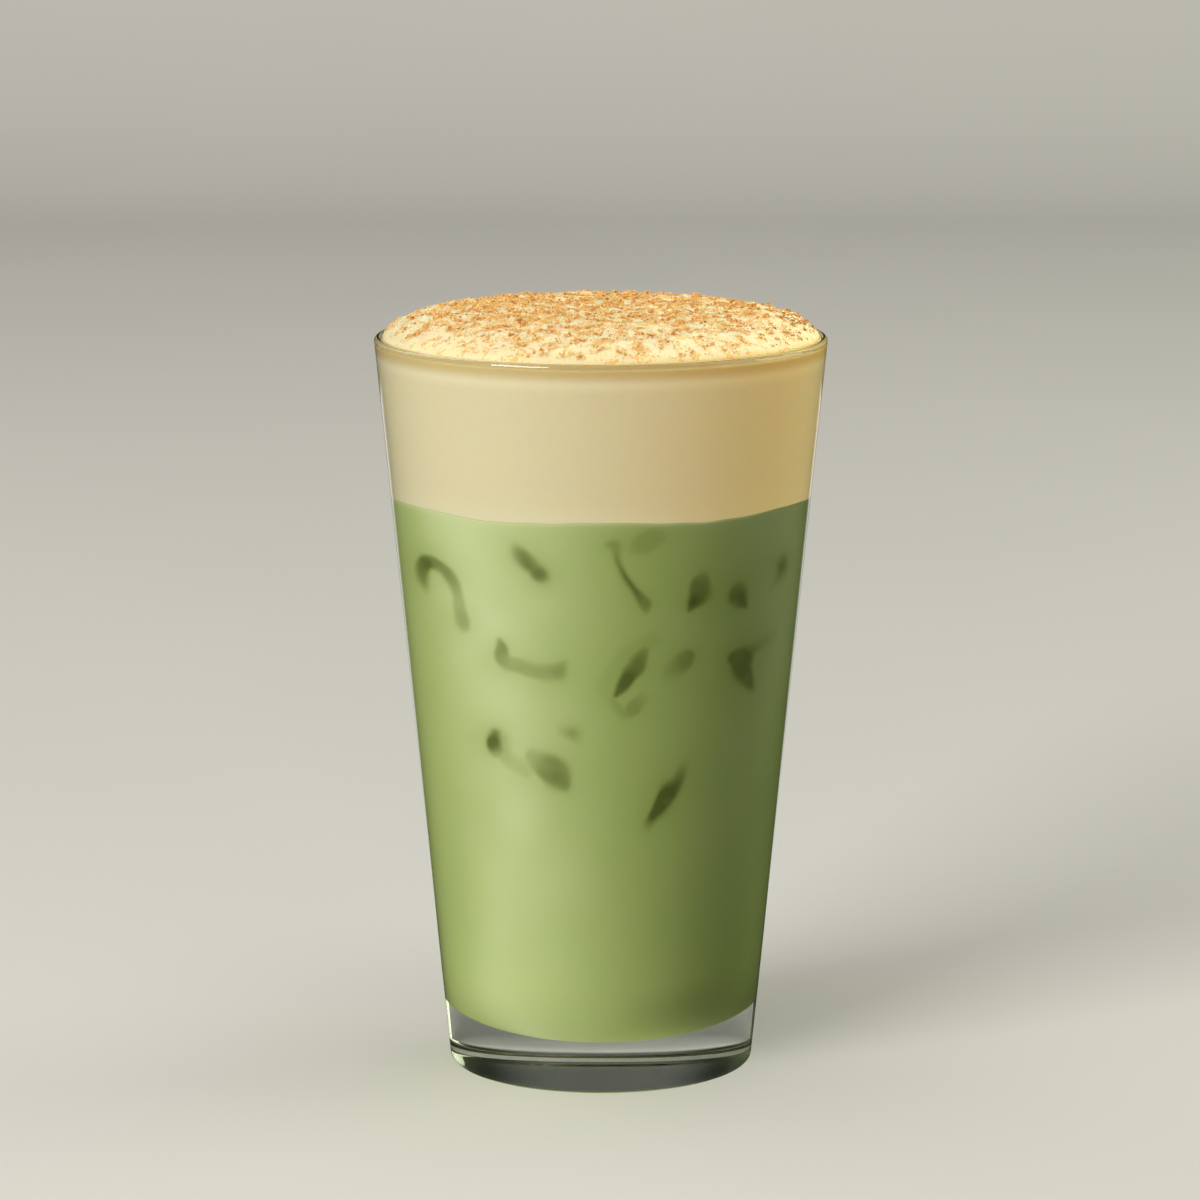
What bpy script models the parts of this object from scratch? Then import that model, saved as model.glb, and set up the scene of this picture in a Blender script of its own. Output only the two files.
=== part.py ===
"""An iced matcha latte in a conical pint glass, under a mound of cold foam dusted with spice.

Run it with: blender --background --python part.py
It is in metres with +Z up. The origin is the middle of the glass's foot, on the table.
The three solids are the glass, the green drink in it, and the foam with its largest spice crumbs.
"""

import math
import random

import bmesh
import bpy
from mathutils import Euler, Matrix, Vector
from mathutils.geometry import interpolate_bezier

MM = 0.001

# Driving dimensions of the glass
GLASS_HEIGHT = 145.4 * MM
RIM_RADIUS = 44.5 * MM
FOOT_RADIUS = 30.0 * MM
LIP_THICKNESS = 1.5 * MM
WALL_AT_BOWL = 3.2 * MM
FOOT_EDGE_RADIUS = 1.5 * MM
FOOT_RING_WIDTH = 6.0 * MM
PUNT_DEPTH = 1.2 * MM
BASE_THICKNESS = 8.0 * MM
BOWL_DEPTH = 14.0 * MM
BOWL_FLAT_RADIUS = 5.0 * MM
BOWL_ROUNDNESS = 0.56

# Driving dimensions of what fills it
GAP = 0.3 * MM
DRINK_LEVEL = 114.4 * MM
LAYER_WAVE = 0.3 * MM
LAYER_CRESTS = 6
MOUND_HEIGHT = 5.4 * MM
MOUND_FLATNESS = 5.0
MOUND_SHOULDER = 0.6

# Crumbs of spice that are large enough to be solid
CRUMB_COUNT = 185
CRUMB_SMALLEST = 1.0 * MM
CRUMB_LARGEST = 2.1 * MM
CRUMB_SPACING = 1.15
CRUMB_LIFT = 0.12
CRUMB_CORNERS = (0.78, 1.12)
CRUMB_WIDTH = (0.65, 1.0)
CRUMB_THICKNESS = (0.6, 0.85)
CRUMB_TILT = math.radians(28)
CRUMB_EDGE_MARGIN = 3.0 * MM
DUSTING_CENTRE = (-3.0 * MM, 5.0 * MM)
DUSTING_REACH = (27.0 * MM, 24.0 * MM)
THINNEST_DUSTING = 0.22
CRUMB_SEED = 9

# Each low swell of the foam's top: its place, its height and its radius
SWELLS = (
    (-17.0 * MM, 2.0 * MM, 0.55 * MM, 13.0 * MM),
    (6.0 * MM, 14.0 * MM, -0.35 * MM, 12.0 * MM),
    (-33.0 * MM, -12.0 * MM, 0.45 * MM, 7.0 * MM),
    (24.0 * MM, -14.0 * MM, 0.35 * MM, 10.0 * MM),
    (2.0 * MM, -25.0 * MM, -0.30 * MM, 10.0 * MM),
)

# How finely the curves are cut into facets
SEGMENTS = 72
BOWL_STEPS = 8
PUNT_STEPS = 3
FOOT_EDGE_STEPS = 3
LIP_STEPS = 4
SHOULDER_STEPS = 5
SHOULDER_SPREAD = 1.6
FLAT_STEPS = 6
FLAT_SHARE = 0.8


def outer_radius(z):
    """The outer wall is one straight cone from the foot to the rim."""
    return FOOT_RADIUS + (RIM_RADIUS - FOOT_RADIUS) * z / GLASS_HEIGHT


def wall_thickness(z):
    """The wall thickens evenly from the lip down to where the bowl begins."""
    bowl_top = BASE_THICKNESS + BOWL_DEPTH
    share = (GLASS_HEIGHT - z) / (GLASS_HEIGHT - bowl_top)
    return LIP_THICKNESS + (WALL_AT_BOWL - LIP_THICKNESS) * share


def inner_radius(z):
    return outer_radius(z) - wall_thickness(z)


def arc(centre, radius, start, end, steps):
    """Points (r, z) on a round arc from one angle to the other, in degrees."""
    angles = [math.radians(start + (end - start) * i / steps) for i in range(steps + 1)]
    return [(centre[0] + radius * math.cos(a), centre[1] + radius * math.sin(a)) for a in angles]


def bowl(inset):
    """The glass's inner bottom as (r, z) from the wall to the axis, moved inwards by inset.

    It is a Bezier curve, close to a quarter of an ellipse. It leaves the wall along the wall and
    ends level where the small flat in the middle begins.
    """
    top = BASE_THICKNESS + BOWL_DEPTH
    bottom = BASE_THICKNESS + inset
    wall = inner_radius(top) - inset
    drop = BOWL_ROUNDNESS * BOWL_DEPTH
    slope = (inner_radius(GLASS_HEIGHT) - inner_radius(top)) / (GLASS_HEIGHT - top)
    start = Vector((wall, top))
    start_handle = Vector((wall - slope * drop, top - drop))
    end = Vector((BOWL_FLAT_RADIUS, bottom))
    end_handle = Vector((BOWL_FLAT_RADIUS + BOWL_ROUNDNESS * (wall - BOWL_FLAT_RADIUS), bottom))
    curve = interpolate_bezier(start, start_handle, end_handle, end, BOWL_STEPS + 1)
    return [(point.x, point.y) for point in curve] + [(0.0, bottom)]


def punt():
    """The hollow under the foot, from the axis to the ring that it stands on."""
    edge = FOOT_RADIUS - FOOT_EDGE_RADIUS - FOOT_RING_WIDTH
    shares = [i / PUNT_STEPS for i in range(PUNT_STEPS + 1)]
    return [(edge * s, PUNT_DEPTH * math.cos(0.5 * math.pi * s) ** 2) for s in shares]


def glass_profile():
    """From the axis under the foot, up the outside, over the lip and down the inside."""
    foot_edge = arc(
        (outer_radius(FOOT_EDGE_RADIUS) - FOOT_EDGE_RADIUS, FOOT_EDGE_RADIUS),
        FOOT_EDGE_RADIUS, -90, 0, FOOT_EDGE_STEPS,
    )
    lip_radius = 0.5 * LIP_THICKNESS
    lip_level = GLASS_HEIGHT - lip_radius
    lip = arc((outer_radius(lip_level) - lip_radius, lip_level), lip_radius, 0, 180, LIP_STEPS)
    return punt() + foot_edge + lip + bowl(0.0)


def drink_profile():
    """From the axis at the drink's bottom, up beside the wall to the drink's level."""
    top = DRINK_LEVEL - 0.5 * GAP
    below = list(reversed(bowl(GAP)))
    return below + [(inner_radius(top) - GAP, top), (0.0, top)]


def mound_level(share):
    """Height of the mound at a share of its radius: nearly flat, with a round shoulder."""
    return GLASS_HEIGHT + MOUND_HEIGHT * (1 - share**MOUND_FLATNESS) ** MOUND_SHOULDER


def swell(x, y):
    """Height that the low swells add, each a smooth bump that has died out at the mound's edge."""
    total = sum(
        height * math.exp(-((x - at_x) ** 2 + (y - at_y) ** 2) / radius**2)
        for at_x, at_y, height, radius in SWELLS
    )
    share = min(1.0, math.hypot(x, y) / mound_radius())
    return total * (1 - share**4)


def mound_radius():
    """The mound's foot is at the rim's level, just inside the lip."""
    return inner_radius(GLASS_HEIGHT) - GAP


def foam_profile():
    """From the axis under the foam, up beside the wall, then over the mound to its middle."""
    bottom = DRINK_LEVEL + 0.5 * GAP
    shoulder = [(i / SHOULDER_STEPS) ** SHOULDER_SPREAD for i in range(SHOULDER_STEPS + 1)]
    shares = [1 - (1 - FLAT_SHARE) * s for s in shoulder]
    shares += [FLAT_SHARE * (1 - i / FLAT_STEPS) for i in range(1, FLAT_STEPS + 1)]
    mound = [(mound_radius() * s, mound_level(s)) for s in shares]
    return [(0.0, bottom), (inner_radius(bottom) - GAP, bottom)] + mound


def material(name, colour, roughness, transmission=0.0):
    """A Principled material with this sRGB colour, its channels from 0 to 255."""
    linear = [((c / 255 + 0.055) / 1.055) ** 2.4 if c > 10 else c / 255 / 12.92 for c in colour]
    made = bpy.data.materials.new(name)
    made.use_nodes = True
    shader = made.node_tree.nodes["Principled BSDF"]
    shader.inputs["Base Color"].default_value = (*linear, 1.0)
    shader.inputs["Roughness"].default_value = roughness
    shader.inputs["Metallic"].default_value = 0.0
    shader.inputs["Transmission Weight"].default_value = transmission
    return made


def turned(name, profile, finish):
    """A closed solid that turns a profile of (r, z) points, bottom to top, about the Z axis."""
    made = bmesh.new()
    rings = []
    for r, z in profile:
        if r < 1e-9:
            rings.append([made.verts.new((0.0, 0.0, z))])
            continue
        angles = [2 * math.pi * i / SEGMENTS for i in range(SEGMENTS)]
        rings.append([made.verts.new((r * math.cos(a), r * math.sin(a), z)) for a in angles])
    for low, high in zip(rings, rings[1:]):
        for i in range(SEGMENTS):
            j = (i + 1) % SEGMENTS
            corners = [low[i % len(low)], low[j % len(low)], high[j % len(high)], high[i % len(high)]]
            made.faces.new(list(dict.fromkeys(corners)))
    mesh = bpy.data.meshes.new(name)
    made.to_mesh(mesh)
    made.free()
    mesh.materials.append(finish)
    mesh.shade_smooth()
    mesh.set_sharp_from_angle(angle=math.radians(40))
    solid = bpy.data.objects.new(name, mesh)
    bpy.context.scene.collection.objects.link(solid)
    return solid


def wave_layer(solid, level):
    """Bends the ring of corners at this level into the gentle wave where drink and foam meet.

    Its crests are spread evenly, one of them at the front. Each corner also moves in or out, so
    that it keeps its gap to the sloping wall.
    """
    for corner in solid.data.vertices:
        radius = math.hypot(corner.co.x, corner.co.y)
        if radius > GAP and abs(corner.co.z - level) < 0.1 * GAP:
            from_front = math.atan2(corner.co.x, -corner.co.y)
            rise = LAYER_WAVE * math.cos(LAYER_CRESTS * from_front)
            reach = (inner_radius(level + rise) - GAP) / radius
            corner.co = (corner.co.x * reach, corner.co.y * reach, level + rise)


def dusting(x, y):
    """How thickly the spice lies at a place, from 0 to 1: most in the middle and towards the back."""
    reach_x, reach_y = DUSTING_REACH
    across = (x - DUSTING_CENTRE[0]) / reach_x
    along = (y - DUSTING_CENTRE[1]) / reach_y
    return THINNEST_DUSTING + (1 - THINNEST_DUSTING) * math.exp(-(across**2) - along**2)


def crumb_places():
    """(x, y, diameter) of each solid crumb, largest first.

    Random places are kept with the chance that the dusting gives, where they clear the others.
    """
    draw = random.Random(CRUMB_SEED)
    reach = mound_radius() - CRUMB_EDGE_MARGIN
    placed = []
    while len(placed) < CRUMB_COUNT:
        share = len(placed) / CRUMB_COUNT
        diameter = CRUMB_LARGEST + (CRUMB_SMALLEST - CRUMB_LARGEST) * share**0.7
        radius = reach * math.sqrt(draw.random())
        angle = draw.uniform(0, 2 * math.pi)
        x, y = radius * math.cos(angle), radius * math.sin(angle)
        if draw.random() > dusting(x, y):
            continue
        room = [0.5 * (diameter + size) * CRUMB_SPACING for _, _, size in placed]
        if all(math.hypot(x - ox, y - oy) > r for (ox, oy, _), r in zip(placed, room)):
            placed.append((x, y, diameter))
    return placed


def crumb(draw, place, collection):
    """One angular crumb: an icosahedron with its corners pushed in or out and flattened."""
    x, y, diameter = place
    made = bmesh.new()
    bmesh.ops.create_icosphere(made, subdivisions=1, radius=0.5 * diameter)
    for corner in made.verts:
        corner.co *= draw.uniform(*CRUMB_CORNERS)
    squash = Matrix.Diagonal((1.0, draw.uniform(*CRUMB_WIDTH), draw.uniform(*CRUMB_THICKNESS), 1.0))
    tilts = [draw.uniform(-CRUMB_TILT, CRUMB_TILT) for _ in range(2)]
    turn = Euler((*tilts, draw.uniform(0, 2 * math.pi))).to_matrix().to_4x4()
    level = mound_level(math.hypot(x, y) / mound_radius()) + swell(x, y)
    lift = Matrix.Translation((x, y, level + CRUMB_LIFT * diameter))
    made.transform(lift @ turn @ squash)
    mesh = bpy.data.meshes.new("crumb")
    made.to_mesh(mesh)
    made.free()
    collection.objects.link(bpy.data.objects.new("crumb", mesh))


def fuse(body, collection):
    """Joins every object of the collection to the body in one union, then removes them."""
    union = body.modifiers.new("crumbs", "BOOLEAN")
    union.operation = "UNION"
    union.operand_type = "COLLECTION"
    union.collection = collection
    union.solver = "EXACT"
    graph = bpy.context.evaluated_depsgraph_get()
    fused = bpy.data.meshes.new_from_object(body.evaluated_get(graph))
    body.modifiers.remove(union)
    body.data = fused
    for loose in list(collection.objects):
        bpy.data.objects.remove(loose)
    bpy.data.collections.remove(collection)


def glass():
    turned("glass", glass_profile(), material("soda lime glass", (236, 240, 236), 0.03, 1.0))


def drink():
    body = turned("matcha_drink", drink_profile(), material("matcha with milk", (164, 180, 104), 0.25))
    wave_layer(body, DRINK_LEVEL - 0.5 * GAP)


def foam():
    """The foam's turned body, its swells, and the crumbs that lie on it."""
    body = turned("cold_foam", foam_profile(), material("sweet cream foam", (232, 218, 178), 0.6))
    wave_layer(body, DRINK_LEVEL + 0.5 * GAP)
    for corner in body.data.vertices:
        if corner.co.z > GLASS_HEIGHT:
            corner.co.z += swell(corner.co.x, corner.co.y)
    crumbs = bpy.data.collections.new("crumbs")
    bpy.context.scene.collection.children.link(crumbs)
    draw = random.Random(CRUMB_SEED + 1)
    for place in crumb_places():
        crumb(draw, place, crumbs)
    fuse(body, crumbs)


def main():
    for left_over in list(bpy.data.objects):
        bpy.data.objects.remove(left_over)
    glass()
    drink()
    foam()


main()
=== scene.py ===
# %% [markdown]
# # An iced matcha latte under cold foam
#
# The drink stands in a conical pint glass: a green, milky drink full of ice, a thick layer of pale
# cream foam on it, and a mound of that foam over the rim with brown spice dusted on top. Its solids
# come first, as a fixed frame in metres with +Z up, and everything below is fitted to that frame.

import math
import random

import bpy
import numpy as np
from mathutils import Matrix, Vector


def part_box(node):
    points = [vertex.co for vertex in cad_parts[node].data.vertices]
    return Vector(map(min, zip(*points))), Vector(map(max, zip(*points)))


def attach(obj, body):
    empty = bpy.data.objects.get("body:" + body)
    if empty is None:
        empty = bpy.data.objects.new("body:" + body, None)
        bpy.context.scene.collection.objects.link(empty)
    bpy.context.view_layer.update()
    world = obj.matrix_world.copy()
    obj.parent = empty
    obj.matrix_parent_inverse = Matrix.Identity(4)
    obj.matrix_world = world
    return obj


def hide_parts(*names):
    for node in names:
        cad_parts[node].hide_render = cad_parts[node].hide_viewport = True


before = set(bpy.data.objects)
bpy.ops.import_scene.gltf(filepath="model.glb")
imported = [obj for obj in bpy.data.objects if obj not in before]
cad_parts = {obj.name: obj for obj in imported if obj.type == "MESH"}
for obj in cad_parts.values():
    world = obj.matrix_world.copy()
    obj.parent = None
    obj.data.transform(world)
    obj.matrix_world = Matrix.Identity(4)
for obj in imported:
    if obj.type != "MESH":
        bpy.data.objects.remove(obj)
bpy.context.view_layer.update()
MM = 0.001
glass_low, glass_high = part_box("glass")
print("glass", [round(v / MM, 1) for v in glass_high - glass_low], "mm")

# %% [markdown]
# ## Helpers for materials
#
# Colours are written as sRGB hex values, as a colour picker shows them, and one function turns them
# to the linear values that Cycles works with. Small functions add a node with its inputs, so that
# each material reads as a list of what feeds what.

# %% Colours and nodes
def linear(hex_colour):
    """Linear red, green, blue and alpha of an sRGB colour such as "A3B264"."""
    channels = np.array([int(hex_colour[i:i + 2], 16) / 255 for i in (0, 2, 4)])
    curve = np.where(channels <= 0.04045, channels / 12.92, ((channels + 0.055) / 1.055) ** 2.4)
    return (*curve.tolist(), 1.0)


def add(tree, kind, inputs=None, **settings):
    """Adds a node with its settings. Each of its inputs is a value, a hex colour or a socket."""
    node = tree.nodes.new(kind)
    for name, value in settings.items():
        setattr(node, name, value)
    for name, value in (inputs or {}).items():
        if isinstance(value, bpy.types.NodeSocket):
            tree.links.new(value, node.inputs[name])
        else:
            node.inputs[name].default_value = linear(value) if isinstance(value, str) else value
    return node


def new_material(name):
    """An empty node material and its tree."""
    made = bpy.data.materials.new(name)
    made.use_nodes = True
    made.node_tree.nodes.clear()
    return made, made.node_tree


def show(tree, kind, inputs):
    """Adds a shader and joins it to a new output node."""
    add(tree, "ShaderNodeOutputMaterial", {"Surface": add(tree, kind, inputs).outputs[0]})


def principled(tree, inputs):
    """A Principled shader with these inputs, shown."""
    show(tree, "ShaderNodeBsdfPrincipled", inputs)


def own_place(tree):
    """The socket of a point's place on its own object, in metres."""
    return add(tree, "ShaderNodeTexCoord").outputs["Object"]


def noise(tree, size, detail=2.0, roughness=0.5):
    """The socket of a noise from 0 to 1, whose patches are about this large."""
    inputs = {"Vector": own_place(tree), "Scale": 1 / size, "Detail": detail, "Roughness": roughness}
    return add(tree, "ShaderNodeTexNoise", inputs).outputs["Fac"]


def number(tree, name):
    """The socket of a number that the mesh keeps for each vertex."""
    return add(tree, "ShaderNodeAttribute", attribute_name=name).outputs["Fac"]


def plus_share(tree, rest, share, value):
    """The socket of rest plus a share of value."""
    inputs = {0: value, 1: share, 2: rest}
    return add(tree, "ShaderNodeMath", inputs, operation="MULTIPLY_ADD").outputs[0]


def bump(tree, height, distance, strength=1.0):
    """The normal socket of a bump."""
    inputs = {"Height": height, "Distance": distance, "Strength": strength}
    return add(tree, "ShaderNodeBump", inputs).outputs["Normal"]


def mix_colours(tree, factor, first, second, blend="MIX"):
    """The colour socket of a mix of two colours."""
    inputs = {0: factor, 6: first, 7: second}
    return add(tree, "ShaderNodeMix", inputs, data_type="RGBA", blend_type=blend).outputs[2]


print("mid grey is", round(linear("808080")[0], 3), "in linear values")

# %% [markdown]
# ## The camera
#
# The photo was taken from about a metre away with a long lens, looking down by ten degrees. These
# numbers come from fitting a camera to the rim's ellipse, the straight sides and the foot's curve.

# %% The camera
CAMERA_PLACE = (0.0, -1.02025, 0.27436)
CAMERA_DOWN = math.radians(10.094)
CAMERA_LENS = 157.23
CAMERA_SENSOR = 36.0
PHOTO_SIDE = 1200
AXIS_OFF_CENTRE = 0.9

camera_data = bpy.data.cameras.new("camera")
camera_data.lens = CAMERA_LENS
camera_data.sensor_width = CAMERA_SENSOR
camera_data.shift_x = -AXIS_OFF_CENTRE / PHOTO_SIDE
camera_data.clip_start = 0.01
camera = bpy.data.objects.new("camera", camera_data)
camera.location = CAMERA_PLACE
camera.rotation_euler = (math.pi / 2 - CAMERA_DOWN, 0.0, 0.0)
bpy.context.scene.collection.objects.link(camera)
bpy.context.scene.camera = camera
print("camera", CAMERA_PLACE, "looking down", round(math.degrees(CAMERA_DOWN), 2), "degrees")

# %% [markdown]
# ## The glass's measures
#
# A conical glass is one straight cone outside. Its wall is thin at the lip and thickens downwards,
# and the inner bottom is a deep bowl in a thick base. The height is read from the frame, and the
# other measures are those that drive the solids.

# %% The glass's measures
GLASS_HEIGHT = glass_high.z
RIM_RADIUS = 44.5 * MM
FOOT_RADIUS = 30.0 * MM
LIP_THICKNESS = 1.5 * MM
WALL_AT_BOWL = 3.2 * MM
FOOT_EDGE_RADIUS = 1.5 * MM
FOOT_RING_WIDTH = 6.0 * MM
PUNT_DEPTH = 1.2 * MM
BASE_THICKNESS = 8.0 * MM
BOWL_DEPTH = 14.0 * MM
BOWL_TOP = BASE_THICKNESS + BOWL_DEPTH
BOWL_FLAT_RADIUS = 5.0 * MM
BOWL_ROUNDNESS = 0.56


def outer_radius(z):
    """The outer wall: a straight line from the foot's radius to the rim's."""
    return FOOT_RADIUS + (RIM_RADIUS - FOOT_RADIUS) * z / GLASS_HEIGHT


def inner_radius(z):
    """The outer radius less the wall's thickness, which grows evenly from the lip to the bowl."""
    share = (GLASS_HEIGHT - z) / (GLASS_HEIGHT - BOWL_TOP)
    return outer_radius(z) - LIP_THICKNESS - (WALL_AT_BOWL - LIP_THICKNESS) * share


def arc(centre_r, centre_z, radius, start, end, count):
    """Points (r, z) on a round arc between two angles."""
    angle = np.linspace(start, end, count)
    return np.stack((centre_r + radius * np.cos(angle), centre_z + radius * np.sin(angle)), axis=1)


def bowl(inset, count):
    """The inner bottom from the wall to the middle, moved inwards by inset.

    A cubic Bezier curve: it leaves the wall along the wall and ends level at the small flat.
    """
    t = np.linspace(0.0, 1.0, count)[:, None]
    wall = inner_radius(BOWL_TOP) - inset
    floor = BASE_THICKNESS + inset
    drop = BOWL_ROUNDNESS * BOWL_DEPTH
    start, end = np.array((wall, BOWL_TOP)), np.array((BOWL_FLAT_RADIUS, floor))
    start_handle = np.array((wall - INNER_SLOPE * drop, BOWL_TOP - drop))
    end_handle = np.array((BOWL_FLAT_RADIUS + BOWL_ROUNDNESS * (wall - BOWL_FLAT_RADIUS), floor))
    return (
        start * (1 - t) ** 3
        + start_handle * 3 * t * (1 - t) ** 2
        + end_handle * 3 * t ** 2 * (1 - t)
        + end * t ** 3
    )


INNER_SLOPE = (inner_radius(GLASS_HEIGHT) - inner_radius(BOWL_TOP)) / (GLASS_HEIGHT - BOWL_TOP)
WALL_TILT = math.atan((RIM_RADIUS - FOOT_RADIUS) / GLASS_HEIGHT)
print("the wall leans out by", round(math.degrees(WALL_TILT), 2), "degrees")

# %% [markdown]
# ## Making a turned piece
#
# Glass, drink and foam are all round, so each is a stack of rings: a profile turned about the axis.
# The points are worked out as whole arrays, and the faces are index arithmetic on the same grid.
# Rings run from the bottom to the top, which makes the faces point outwards.

# %% Rings to a mesh
def link(name, mesh, material):
    """Puts a mesh into the scene as an object at the origin, with one material."""
    mesh.materials.append(material)
    piece = bpy.data.objects.new(name, mesh)
    bpy.context.scene.collection.objects.link(piece)
    print(name, len(mesh.vertices), "vertices", len(mesh.polygons), "faces")
    return piece


def polar(r, angle, z):
    """Points at these distances from the axis, angles round it and heights."""
    return np.stack(np.broadcast_arrays(r * np.cos(angle), r * np.sin(angle), z), axis=-1)


def turn(profile, around):
    """Rings of points: each (r, z) of the profile, at evenly spaced angles about the axis."""
    angle = np.linspace(0.0, 2 * math.pi, around, endpoint=False)
    return polar(profile[:, 0, None], angle, profile[:, 1, None])


def mesh_of(name, points, faces):
    """A mesh of these points and faces, shaded flat."""
    mesh = bpy.data.meshes.new(name)
    mesh.from_pydata(points.reshape(-1, 3), [], faces)
    return mesh


def skin(name, rings, bottom, top, flat_bottom=False, flat_top=False):
    """A closed, smooth mesh over rings of points.

    Quads join the rings, and a fan of triangles closes each end on the axis, at the heights bottom
    and top. A flat end meets the wall in a crease.
    """
    rows, around, _ = rings.shape
    points = np.vstack((rings.reshape(-1, 3), (0.0, 0.0, bottom), (0.0, 0.0, top)))
    row = np.arange(rows - 1)[:, None] * around
    here = np.arange(around)
    beside = (here + 1) % around
    quads = np.stack((row + here, row + beside, row + around + beside, row + around + here), axis=-1)
    quads = quads.reshape(-1, 4).tolist()
    last = (rows - 1) * around
    below = np.stack((np.full(around, rows * around), beside, here), axis=-1)
    above = np.stack((np.full(around, rows * around + 1), last + here, last + beside), axis=-1)
    mesh = mesh_of(name, points, quads + below.tolist() + above.tolist())
    smooth = np.ones(len(mesh.polygons), dtype=bool)
    smooth[len(quads):][:around] = not flat_bottom
    smooth[-around:] = not flat_top
    mesh.polygons.foreach_set("use_smooth", smooth)
    return mesh


def store(mesh, name, values, at_poles=()):
    """Keeps one number for each vertex, which a material reads by its name."""
    layer = mesh.attributes.new(name, "FLOAT", "POINT")
    layer.data.foreach_set("value", np.append(values, at_poles).astype(np.float32))


# %% [markdown]
# ## Clear soda lime glass
#
# The real glass is pressed and fire polished: clear, smooth and very slightly green in its thick
# base, with a faint waviness that bends its reflections. A Principled shader with full transmission
# and an IOR of 1.5 gives that, with a bump of about 18 mm a wave. Lamps shine through it, because the
# glass casts no shadow and is left out of diffuse light, so the drink is lit without grain.

# %% Clear soda lime glass
GLASS_IOR = 1.5
GLASS_WAVE = 18 * MM
GLASS_WAVE_HEIGHT = 0.02 * MM

glass_material, tree = new_material("pressed_soda_lime_glass")
principled(tree, {
    "Base Color": "F4F9F5", "Roughness": 0.0, "IOR": GLASS_IOR, "Transmission Weight": 1.0,
    "Normal": bump(tree, noise(tree, GLASS_WAVE, 1.0, 0.3), GLASS_WAVE_HEIGHT),
})

# %% [markdown]
# ## The glass
#
# The profile starts on the axis under the foot. It passes the shallow hollow and the flat ring that
# the glass stands on, turns up round the foot's edge, follows the cone to the rounded lip, and comes
# down inside to the bowl. Its two arcs meet the leaning walls without a corner, which would show as
# a hard line in the reflections.

# %% The glass
GLASS_AROUND = 256


def punt(count):
    """The hollow under the foot: a squared cosine from its depth in the middle to the flat ring."""
    share = np.linspace(0.0, 1.0, count)
    edge = FOOT_RADIUS - FOOT_EDGE_RADIUS - FOOT_RING_WIDTH
    return np.stack((edge * share, PUNT_DEPTH * np.cos(0.5 * math.pi * share) ** 2), axis=1)


def glass_profile():
    """Hollow, foot edge, lip and bowl, joined in that order. The straight walls lie between them."""
    foot_edge = arc(
        outer_radius(FOOT_EDGE_RADIUS) - FOOT_EDGE_RADIUS / math.cos(WALL_TILT), FOOT_EDGE_RADIUS,
        FOOT_EDGE_RADIUS, -math.pi / 2, -WALL_TILT, 10,
    )
    lip_radius = 0.5 * LIP_THICKNESS
    lip_level = GLASS_HEIGHT - lip_radius
    lip = arc(
        outer_radius(lip_level) - lip_radius / math.cos(WALL_TILT), lip_level,
        lip_radius, -WALL_TILT, math.pi - math.atan(INNER_SLOPE), 20,
    )
    middle = 0.5 * (foot_edge[-1] + lip[0])
    return np.vstack((punt(12)[1:], foot_edge, middle, lip, bowl(0.0, 40)))


glass_mesh = skin("glass_tumbler", turn(glass_profile(), GLASS_AROUND), PUNT_DEPTH, BASE_THICKNESS)
tumbler = link("glass_tumbler", glass_mesh, glass_material)
tumbler.visible_shadow = False
tumbler.visible_diffuse = False
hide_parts("glass")
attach(tumbler, "root")

# %% [markdown]
# ## The line where drink and foam meet
#
# The foam floats on the drink. Their border is almost level, with a slight wave of six crests round
# the glass and a finer unevenness. Both pieces take it from the same function, so they share one
# line. Both also reach a little into the wall, so that no air shows between them and the glass.

# %% The border and uneven relief
DRINK_LEVEL = 114.4 * MM
LAYER_WAVE = 0.3 * MM
LAYER_CRESTS = 6
LAYER_UNEVEN, LAYER_RIPPLE = 0.04 * MM, 9 * MM
INTO_WALL = 0.15 * MM


def ripples(points, wavelength, seed, waves=48):
    """Uneven relief with a spread of about 1.

    The sum of many sine waves in random directions, all about one wavelength long.
    """
    draw = np.random.default_rng(seed)
    directions = draw.normal(size=(waves, points.shape[-1]))
    directions /= np.linalg.norm(directions, axis=1, keepdims=True)
    lengths = wavelength * draw.uniform(0.7, 1.4, (waves, 1))
    phases = draw.uniform(0.0, 2 * math.pi, waves)
    angles = points @ (2 * math.pi * directions / lengths).T + phases
    return np.sin(angles).sum(axis=-1) * math.sqrt(2 / waves)


def layer_level(angle):
    """The border's height at an angle: a level, six crests, one of them in front, and ripples."""
    crests = LAYER_WAVE * np.cos(LAYER_CRESTS * (angle + 0.5 * math.pi))
    ring = polar(inner_radius(DRINK_LEVEL), angle, 0.0)[..., :2]
    return DRINK_LEVEL + crests + LAYER_UNEVEN * ripples(ring, LAYER_RIPPLE, 3)


print("the drink ends at", round(layer_level(np.zeros(1))[0] / MM, 2), "mm on its right side")
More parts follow.
